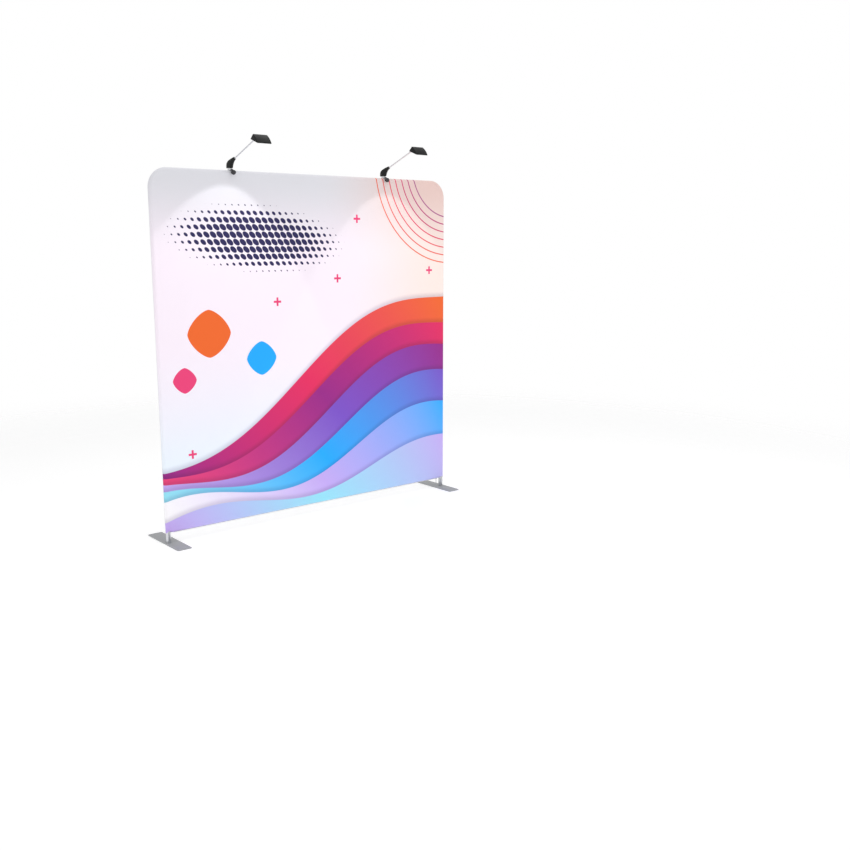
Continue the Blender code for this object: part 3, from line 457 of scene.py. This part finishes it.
def bright_chrome():
    finish = Finish("bright_chrome", metallic=1.0)
    place = finish.place()
    smears = finish.noise(place, 70.0, 4.0, 0.6)
    colour = finish.blend(smears, screen(214, 215, 218), screen(234, 235, 237))
    finish.give({"Base Color": colour, "Roughness": 0.10 + 0.14 * smears.rise(0.4, 0.75)})
    return finish.relief(0.000006 * smears)


def black_hood_paint():
    finish = Finish("black_hood_paint").give({"Specular IOR Level": 0.22})
    place = finish.place()
    peel = finish.noise(place, 700.0, 2.0)
    dust = finish.noise(place, 1800.0, 4.0, 0.7).rise(0.66, 0.8)
    colour = finish.blend(dust * 0.2, screen(14, 15, 15), screen(62, 64, 64))
    finish.give({"Base Color": colour, "Roughness": 0.36 + 0.12 * peel + 0.2 * dust})
    return finish.relief(0.00003 * peel)


diode_pitch = 0.0085


def from_diode(finish, node):
    """How far a place lies from the middle of the nearest diode, in pitches of their grid."""
    low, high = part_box(node)
    x, y, _ = finish.axes(finish.place())
    off_x = ((x - low.x) / diode_pitch).within_cell() - 0.5
    off_y = ((y - low.y) / diode_pitch).within_cell() - 0.5
    return (off_x ** 2 + off_y ** 2) ** 0.5


def frosted_lens(node):
    finish = Finish(f"{node}_frosted", emission_strength=0.55)
    frost = finish.noise(finish.place(), 1600.0, 2.0)
    glow = from_diode(finish, node).rise(0.55, 0.05)
    finish.give({"Base Color": finish.blend(frost, screen(206, 210, 214), screen(222, 224, 227)),
                 "Roughness": 0.42 + 0.2 * frost,
                 "Emission Color": finish.blend(glow, screen(176, 188, 212), screen(255, 252, 244))})
    return finish.relief(0.00003 * frost)


def diode_board(node):
    finish = Finish(f"{node}_solder_mask")
    distance = from_diode(finish, node)
    diode = distance.rise(0.22, 0.18)
    rim = distance.rise(0.32, 0.30) * (1 - diode)
    speckle = finish.noise(finish.place(), 900.0, 2.0)
    colour = finish.blend(speckle, screen(226, 228, 226), screen(240, 241, 238))
    colour = finish.blend(rim, colour, screen(176, 176, 172))
    colour = finish.blend(diode, colour, screen(236, 204, 92))
    finish.give({"Base Color": colour, "Roughness": 0.5 - 0.2 * diode})
    return finish.relief(0.0003 * diode + 0.00002 * speckle)


warp_pitch = 0.0009
weft_pitch = 0.0012


def zip_tape_cloth():
    finish = Finish("white_zip_tape")
    x, y, _ = finish.axes(finish.place())
    ribs = (x * (2 * math.pi / warp_pitch)).sine() * (y * (2 * math.pi / weft_pitch)).sine()
    fuzz = finish.noise(finish.place(), 1500.0, 2.0)
    finish.give({"Base Color": finish.blend(fuzz, screen(214, 215, 220), screen(236, 236, 240)),
                 "Roughness": 0.78 + 0.12 * fuzz})
    return finish.relief(0.00008 * ribs)


def zip_coil_nylon():
    finish = Finish("white_coil_nylon")
    fine = finish.noise(finish.place(), 1900.0, 2.0)
    finish.give({"Base Color": finish.blend(fine, screen(226, 227, 231), screen(242, 242, 245)),
                 "Roughness": 0.38 + 0.14 * fine})
    return finish.relief(0.00002 * fine)


twist_pitch = 0.0006


def sewing_thread():
    finish = Finish("white_sewing_thread")
    x, y, _ = finish.axes(finish.place())
    twist = ((x + y * 2) * (2 * math.pi / twist_pitch)).sine()
    colour = finish.blend(twist * 0.5 + 0.5, screen(222, 222, 226), screen(246, 246, 248))
    finish.give({"Base Color": colour, "Roughness": 0.6 + 0.1 * twist})
    return finish.relief(0.00004 * twist)


def add_mesh(name, build, finish, body):
    """A new piece from a mesh that build fills, with its finish, on its body."""
    mesh = bpy.data.meshes.new(name)
    work = bmesh.new()
    build(work)
    work.to_mesh(mesh)
    work.free()
    for face in mesh.polygons:
        face.use_smooth = True
    mesh.materials.append(finish.material)
    piece = bpy.data.objects.new(name, mesh)
    bpy.context.scene.collection.objects.link(piece)
    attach(piece, body)
    return piece


def run(start, end, count):
    """count values from start up to, but not with, end."""
    return [start + (end - start) * n / count for n in range(count)]


def zip_wrap(x):
    """How far the cloth's lower edge wraps the rail: less along the zip, whose ends taper shut."""
    gap = zip_high.x - abs(x)
    taper = min(max(1 + gap / (upright_x - zip_high.x - leg_hole_radius), 0), 1)
    beside_zip = math.acos(((zip_high.y - zip_low.y) / 2 + zip_clearance) / wrap_radius)
    return quarter_turn + (beside_zip - quarter_turn) * taper


def cover_outline():
    """Places round the frame's centre line, each with its way out and how far the cloth wraps there."""
    low, high = Vector((-upright_x, bottom_rail_z)), Vector((upright_x, top_rail_z))
    width_count = round((high.x - low.x) / outline_step)
    height_count = round((high.y - low.y - bend_radius) / outline_step)
    outline = [(low, Vector((-1, -1)), quarter_turn)]
    for x in run(low.x, high.x, width_count)[1:]:
        outline.append((Vector((x, low.y)), Vector((0, -1)), zip_wrap(x)))
    outline.append((Vector((high.x, low.y)), Vector((1, -1)), quarter_turn))
    for z in run(low.y, high.y - bend_radius, height_count)[1:]:
        outline.append((Vector((high.x, z)), Vector((1, 0)), quarter_turn))
    for side in (1, -1):
        centre = Vector((side * (high.x - bend_radius), high.y - bend_radius))
        first, last = (0, quarter_turn) if side > 0 else (quarter_turn, 2 * quarter_turn)
        for angle in run(first, last, bend_steps) + [last]:
            out = Vector((math.cos(angle), math.sin(angle)))
            outline.append((centre + bend_radius * out, out, quarter_turn))
        if side > 0:
            for x in run(high.x - bend_radius, bend_radius - high.x, width_count)[1:]:
                outline.append((Vector((x, high.y)), Vector((0, 1)), quarter_turn))
    for z in run(high.y - bend_radius, low.y, height_count)[1:]:
        outline.append((Vector((low.x, z)), Vector((-1, 0)), quarter_turn))
    return outline


def corner_dent(x, z):
    """Slack that the zip's ends leave: faint folds that run out of the two lower corners."""
    reach = Vector((upright_x - abs(x), z - bottom_rail_z))
    away = reach.length / corner_pull_reach
    angle = math.atan2(reach.y, max(reach.x, 1e-6))
    fold = 0.5 - 0.5 * math.cos(corner_folds * angle)
    return corner_pull * fold * math.exp(-away) * min(away * corner_pull_rise, 1)


def cloth_half(side):
    """Fills a mesh with half of the cover: side is -1 for the printed front and 1 for the back."""
    def build(work):
        outline = cover_outline()
        flat, seam = work.loops.layers.uv.new("flat"), work.loops.layers.uv.new("seam")
        centre = Vector((0, (bottom_rail_z + top_rail_z) / 2))
        along = [0.0]
        for (place, _, _), (after, _, _) in zip(outline, outline[1:] + outline[:1]):
            along.append(along[-1] + (after - place).length)
        rings = []
        shares = [1 - (1 - middle_share) * (n / face_rings) ** 2 for n in range(face_rings, 0, -1)]
        for share in shares:
            ring = []
            for place, _, _ in outline:
                x, z = centre + (place - centre) * share
                y = middle_y + side * (wrap_radius - corner_dent(x, z))
                away = (1 - share) * (place - centre).length + wrap_radius * quarter_turn
                ring.append((work.verts.new((x, y, z)), Vector((x, z)), away))
            rings.append(ring)
        for step in range(wrap_steps + 2):
            ring = []
            sunk = seam_depth if step > wrap_steps else 0
            for place, out, wrap in outline:
                angle = wrap * min(step, wrap_steps) / wrap_steps
                radius = wrap_radius - sunk
                x, z = place + out * radius * math.sin(angle)
                y = middle_y + side * radius * math.cos(angle)
                unrolled = place + out * (wrap_radius * angle)
                ring.append((work.verts.new((x, y, z)), unrolled, wrap_radius * (wrap - angle)))
            rings.append(ring)
        middle = list(reversed(rings[0]))
        work.faces.new([corner[0] for corner in middle])
        count = len(outline)
        for inner, outer in zip(rings, rings[1:]):
            for n in range(count):
                after = (n + 1) % count
                corners = ((inner, n, n), (inner, after, n + 1), (outer, after, n + 1), (outer, n, n))
                face = work.faces.new([ring[place][0] for ring, place, _ in corners])
                for loop, (ring, place, distance) in zip(face.loops, corners):
                    loop[flat].uv = ring[place][1]
                    loop[seam].uv = (along[distance], ring[place][2])
        for loop, corner in zip(next(iter(work.faces)).loops, middle):
            loop[flat].uv = corner[1]
            loop[seam].uv = (0.0, corner[2])
        work.normal_update()
        if next(iter(work.faces)).normal.y * side < 0:
            bmesh.ops.reverse_faces(work, faces=work.faces)
    return build


def leg_holes():
    """Cutters where the uprights leave the cover's lower corners."""
    mesh = bpy.data.meshes.new("leg_holes")
    work = bmesh.new()
    for side in (-1, 1):
        place = Matrix.Translation((side * upright_x, middle_y, bottom_rail_z - wrap_radius))
        bmesh.ops.create_cone(work, cap_ends=True, segments=leg_hole_sides, radius1=leg_hole_radius,
                              radius2=leg_hole_radius, depth=2 * wrap_radius, matrix=place)
    work.to_mesh(mesh)
    work.free()
    cutter = bpy.data.objects.new("leg_holes", mesh)
    bpy.context.scene.collection.objects.link(cutter)
    return cutter


def add_cover(cutter):
    """The printed front and the white back, sewn together round the middle of the tubes."""
    tall = top_rail_z + wrap_radius * quarter_turn - bottom_rail_z + wrap_radius * zip_wrap(0)
    halves = (("front_cloth", -1, printed_cloth(), "front_cover", "printed_cloth"),
              ("back_cloth", 1, white_cloth(), "back_cover", "white_cloth"))
    for name, side, finish, node, slot_name in halves:
        cloth = add_mesh(name, cloth_half(side), finish, "frame")
        thicken = cloth.modifiers.new("thickness", "SOLIDIFY")
        thicken.thickness = cloth_thickness
        thicken.offset = -1
        cut = cloth.modifiers.new("leg holes", "BOOLEAN")
        cut.operation = "DIFFERENCE"
        cut.solver = "EXACT"
        cut.object = cutter
        keep_evaluated(cloth)
        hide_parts(node)


def keep_evaluated(piece):
    """Makes a piece's modifiers part of its mesh."""
    shape = piece.evaluated_get(bpy.context.evaluated_depsgraph_get())
    made = bpy.data.meshes.new_from_object(shape)
    piece.modifiers.clear()
    piece.data = made


# Zip
tooth_pitch = 0.002
tooth_length = 0.0036
tooth_width = 0.0011
tooth_height = 0.0016
tooth_from_middle = 0.28
tooth_sections = ((-0.5, 0.3), (-0.1, 0.5), (0.5, 0.5))
tooth_rows = ((-1, 0.25), (1, 0.75))
tape_thickness = 0.0006
tape_rise_steps = 5
tape_edge = 0.0008
tape_above_teeth = 1.6
tape_curve = 1.5


def zip_tapes(work):
    """Two woven tapes from the cloth's edges down to the coil, one each side."""
    for side in (-1, 1):
        outer = zip_high.y - middle_y
        drop = zip_high.z - zip_low.z - tooth_height * tape_above_teeth
        rows = []
        for step in range(tape_rise_steps + 1):
            share = step / tape_rise_steps
            y = middle_y + side * (outer - (outer - tape_edge) * share)
            z = zip_high.z - tape_thickness - drop * share ** tape_curve
            rows.append((y, z))
        rows += [(y, z + tape_thickness) for y, z in reversed(rows)]
        ends = [[work.verts.new((x, y, z)) for y, z in rows] for x in (zip_low.x, zip_high.x)]
        count = len(rows)
        for n in range(count):
            after = (n + 1) % count
            work.faces.new((ends[0][n], ends[0][after], ends[1][after], ends[1][n]))
        work.faces.new(ends[0])
        work.faces.new(ends[1])
    bmesh.ops.recalc_face_normals(work, faces=work.faces)


def zip_teeth(work):
    """The coil's teeth: the two rows reach past each other."""
    count = int((zip_high.x - zip_low.x) / tooth_pitch)
    z = zip_low.z + tooth_height / 2
    for n in range(count):
        for side, shift in tooth_rows:
            x = zip_low.x + (n + shift) * tooth_pitch
            place = Vector((x, middle_y + side * tooth_length * tooth_from_middle, z))
            corners = []
            for end in (-0.5, 0.5):
                for high, wide in tooth_sections:
                    for way in (-1, 1):
                        corner = Vector((way * wide * tooth_width, end * tooth_length, high * tooth_height))
                        corners.append(work.verts.new(place + corner))
            near, far = corners[:6], corners[6:]
            around = (0, 1, 3, 5, 4, 2)
            for first, second in zip(around, around[1:] + around[:1]):
                work.faces.new((near[first], near[second], far[second], far[first]))
            work.faces.new([near[n] for n in around])
            work.faces.new([far[n] for n in reversed(around)])
    bmesh.ops.recalc_face_normals(work, faces=work.faces)


def add_zip():
    add_mesh("zip_tapes", zip_tapes, zip_tape_cloth(), "frame")
    teeth = add_mesh("zip_teeth", zip_teeth, zip_coil_nylon(), "frame")
    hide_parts("zip_chain")


# Stitches beside the zip
stitch_pitch = 0.0042
stitch_length = 0.0031
stitch_radius = 0.00032
stitch_from_edge = 0.0030
stitch_start = 0.15
stitch_sections = ((0, 0.3), (0.2, 1), (0.8, 1), (1, 0.3))
thread_sides = 5


def stitches(work):
    """Two rows of thread that hold the zip in the cloth's lower edges."""
    edge_angle = zip_wrap(0) - stitch_from_edge / wrap_radius
    count = int((zip_high.x - zip_low.x) / stitch_pitch)
    for side in (-1, 1):
        out = Vector((0, side * math.cos(edge_angle), -math.sin(edge_angle)))
        across = Vector((0, out.z, -out.y))
        middle = Vector((0, middle_y, bottom_rail_z)) + out * wrap_radius
        for n in range(count):
            start = zip_low.x + (n + stitch_start) * stitch_pitch
            rings = []
            for share, size in stitch_sections:
                centre = middle + Vector((start + share * stitch_length, 0, 0))
                ring = []
                for turn in run(0, 2 * math.pi, thread_sides):
                    way = out * math.cos(turn) + across * math.sin(turn)
                    ring.append(work.verts.new(centre + stitch_radius * size * way))
                rings.append(ring)
            for inner, outer in zip(rings, rings[1:]):
                for k in range(thread_sides):
                    after = (k + 1) % thread_sides
                    work.faces.new((inner[k], inner[after], outer[after], outer[k]))
            work.faces.new(rings[0])
            work.faces.new(rings[-1])
    bmesh.ops.recalc_face_normals(work, faces=work.faces)


# Edges of the solids
weld_distance = 0.000002
soft_edge = 0.0004
sharp_angle = math.radians(32)


def smooth_faces():
    """Modifier nodes that shade curved faces smoothly and keep the sharp edges."""
    group = bpy.data.node_groups.new("smooth_faces", "GeometryNodeTree")
    group.is_modifier = True
    for way in ("INPUT", "OUTPUT"):
        group.interface.new_socket("Geometry", in_out=way, socket_type="NodeSocketGeometry")
    start, end = (group.nodes.new(f"NodeGroup{way}") for way in ("Input", "Output"))
    plain = group.nodes.new("GeometryNodeRemoveAttribute")
    plain.inputs["Name"].default_value = "custom_normal"
    smooth, keep = (group.nodes.new("GeometryNodeSetShadeSmooth") for _ in range(2))
    keep.domain = "EDGE"
    keep.inputs["Shade Smooth"].default_value = False
    angle = group.nodes.new("GeometryNodeInputMeshEdgeAngle")
    sharp = group.nodes.new("FunctionNodeCompare")
    sharp.inputs[1].default_value = sharp_angle
    links = ((start.outputs[0], plain.inputs["Geometry"]),
             (plain.outputs[0], smooth.inputs["Geometry"]),
             (smooth.outputs[0], keep.inputs["Geometry"]),
             (angle.outputs["Unsigned Angle"], sharp.inputs[0]),
             (sharp.outputs[0], keep.inputs["Selection"]),
             (keep.outputs[0], end.inputs[0]))
    for out, into in links:
        group.links.new(out, into)
    return group


smoothing = smooth_faces()


def dress(names, finish):
    """Gives CAD nodes their finish, and breaks their sharp edges."""
    for name in names:
        node = nodes[name]
        node.data.materials.clear()
        node.data.materials.append(finish.material)
        weld = node.modifiers.new("weld", "WELD")
        weld.merge_threshold = weld_distance
        soften = node.modifiers.new("soft edges", "BEVEL")
        soften.width = soft_edge
        soften.segments = 2
        soften.limit_method = "ANGLE"
        soften.angle_limit = sharp_angle
        smooth = node.modifiers.new("smooth faces", "NODES")
        smooth.node_group = smoothing


def dress_frame():
    sides = ("left", "right")
    upright = drawn_aluminium(2)
    level = drawn_aluminium(0)
    dress([f"{side}_{part}" for side in sides for part in ("lower_upright", "upper_upright")], upright)
    dress(["centre_pole_lower", "centre_pole_upper"], upright)
    dress([f"{side}_{part}" for side in sides for part in ("top_rail", "bottom_rail")], level)
    dress([f"{lamp}_clamp_bracket" for lamp in lamps], level)
    dress(["bottom_pole_saddle", "top_pole_saddle"],
          moulded("black_saddle_nylon", screen(34, 34, 36), screen(46, 46, 48), 0.45))
    zinc = zinc_plate()
    buttons = [name for name in nodes if name.endswith("_button")]
    dress(buttons + [f"{side}_{part}" for side in sides for part in ("foot_post", "foot_bolt")], zinc)
    dress(["zip_slider", "zip_pull"] + [f"{lamp}_{part}" for lamp in lamps
                                        for part in ("clamp_screw", "hinge_pin")], zinc)
    dress([f"{side}_foot_plate" for side in sides], grey_powder_coat())


def dress_lamps():
    black = moulded("black_moulded_plastic", screen(12, 14, 13), screen(20, 22, 21), 0.40, shine=0.25)
    knob = moulded("grey_knob_plastic", screen(50, 50, 53), screen(60, 60, 64), 0.46, shine=0.32)
    jaw = moulded("dark_jaw_paint", screen(46, 47, 50), screen(58, 59, 62), 0.40, 900.0, 0.00003, 0.35)
    rubber, chrome, hood = pad_rubber(), bright_chrome(), black_hood_paint()
    for lamp in lamps:
        dress([f"{lamp}_holder", f"{lamp}_cable_gland"], black)
        dress([f"{lamp}_clamp_knob"], knob)
        dress([f"{lamp}_clamp_jaw"], jaw)
        dress([f"{lamp}_clamp_pad"], rubber)
        dress([f"{lamp}_arm", f"{lamp}_swivel_disc"], chrome)
        dress([f"{lamp}_hood", f"{lamp}_lens_bezel"], hood)
        dress([f"{lamp}_lens"], frosted_lens(f"{lamp}_lens"))
        dress([f"{lamp}_led_board"], diode_board(f"{lamp}_led_board"))


# Camera and light
camera_place = (-3.668, -5.426, 1.868)
camera_turn = (79.26, 0.0, -40.12)
camera_lens = 41.01
floor_fade = (3.0, 6.5)
floor_reach = 14.0
floor_sides = 96
floor_glow = 0.20
key_place, key_aim, key_size, key_power = (2.2, -3.8, 1.4), (0.0, 0.1, 0.8), 2.6, 30.0
fill_place, fill_aim, fill_size, fill_power = (-4.6, -0.6, 1.2), (-1.15, 0.08, 1.1), 2.0, 16.0
top_place, top_size, top_power = (0.0, -0.6, 5.5), 5.0, 70.0
world_light = 0.70
spot_drop = 0.006
spot_angle = 74.0
spot_blend = 0.10
spot_softness = 0.02

# The left lamp's light, then the right lamp's
spot_powers = (6.6, 4.8)
spot_pitches = (68.0, 70.0)
spot_leans = (-0.105, 0.0)


def aim(piece, target):
    way = Vector(target) - piece.location
    piece.rotation_euler = way.to_track_quat("-Z", "Y").to_euler()


def add_light(name, kind, place, target, power, **settings):
    lamp = bpy.data.lights.new(name, kind)
    lamp.energy = power
    for setting, value in settings.items():
        setattr(lamp, setting, value)
    light = bpy.data.objects.new(name, lamp)
    light.location = place
    aim(light, target)
    bpy.context.scene.collection.objects.link(light)
    return light


def soften_falloff(lamp):
    """A wide diode panel's light fades more slowly than a point's."""
    lamp.use_nodes = True
    tree = lamp.node_tree
    falloff = tree.nodes.new("ShaderNodeLightFalloff")
    falloff.inputs["Strength"].default_value = 1.0
    tree.links.new(falloff.outputs["Linear"], tree.nodes["Emission"].inputs["Strength"])


def add_camera():
    eye = bpy.data.cameras.new("camera")
    eye.lens = camera_lens
    camera = bpy.data.objects.new("camera", eye)
    camera.location = camera_place
    camera.rotation_euler = [math.radians(turn) for turn in camera_turn]
    bpy.context.scene.collection.objects.link(camera)
    bpy.context.scene.camera = camera


def add_floor():
    """A plain pale floor that fades into the white behind it."""
    mesh = bpy.data.meshes.new("floor")
    work = bmesh.new()
    bmesh.ops.create_circle(work, cap_ends=True, segments=floor_sides, radius=floor_reach)
    work.to_mesh(mesh)
    work.free()
    floor = bpy.data.objects.new("floor", mesh)
    bpy.context.scene.collection.objects.link(floor)
    finish = Finish("pale_floor", base_color=screen(251, 251, 251), roughness=0.6,
                    emission_color=(1, 1, 1, 1), emission_strength=floor_glow)
    x, y, _ = finish.axes(finish.place())
    away = (x ** 2 + y ** 2) ** 0.5
    clear = finish.node("BsdfTransparent", {}, {})
    shader = Field(finish, finish.shader.outputs[0])
    mixed = finish.node("MixShader", {}, {0: away.rise(*floor_fade), 1: shader, 2: clear})
    finish.feed(finish.tree.nodes["Material Output"].inputs["Surface"], mixed)
    mesh.materials.append(finish.material)


def add_studio():
    scene = bpy.context.scene
    scene.view_settings.view_transform = "Standard"
    world = bpy.data.worlds.new("white_studio")
    scene.world = world
    world.use_nodes = True
    background = world.node_tree.nodes["Background"]
    background.inputs["Color"].default_value = (1, 1, 1, 1)
    path = world.node_tree.nodes.new("ShaderNodeLightPath")
    level = world.node_tree.nodes.new("ShaderNodeMapRange")
    level.inputs["To Min"].default_value = world_light
    world.node_tree.links.new(path.outputs["Is Camera Ray"], level.inputs["Value"])
    world.node_tree.links.new(level.outputs[0], background.inputs["Strength"])
    add_light("key", "AREA", key_place, key_aim, key_power, size=key_size)
    add_light("side_fill", "AREA", fill_place, fill_aim, fill_power, size=fill_size)
    add_light("overhead", "AREA", top_place, (0, -0.6, 0), top_power, size=top_size)
    for lamp, power, lean, pitch in zip(lamps, spot_powers, spot_leans, spot_pitches):
        low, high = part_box(f"{lamp}_lens")
        place = Vector(((low.x + high.x) / 2, (low.y + high.y) / 2, low.z - spot_drop))
        down = math.radians(pitch)
        target = place + Vector((lean, math.cos(down), -math.sin(down)))
        light = add_light(f"{lamp}_beam", "SPOT", place, target, power, spot_blend=spot_blend,
                          spot_size=math.radians(spot_angle), shadow_soft_size=spot_softness)
        soften_falloff(light.data)
        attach(light, f"{lamp}_head")


add_camera()
cutter = leg_holes()
add_cover(cutter)
bpy.data.objects.remove(cutter)
add_zip()
add_mesh("zip_stitches", stitches, sewing_thread(), "frame")
dress_frame()
dress_lamps()
add_floor()
add_studio()
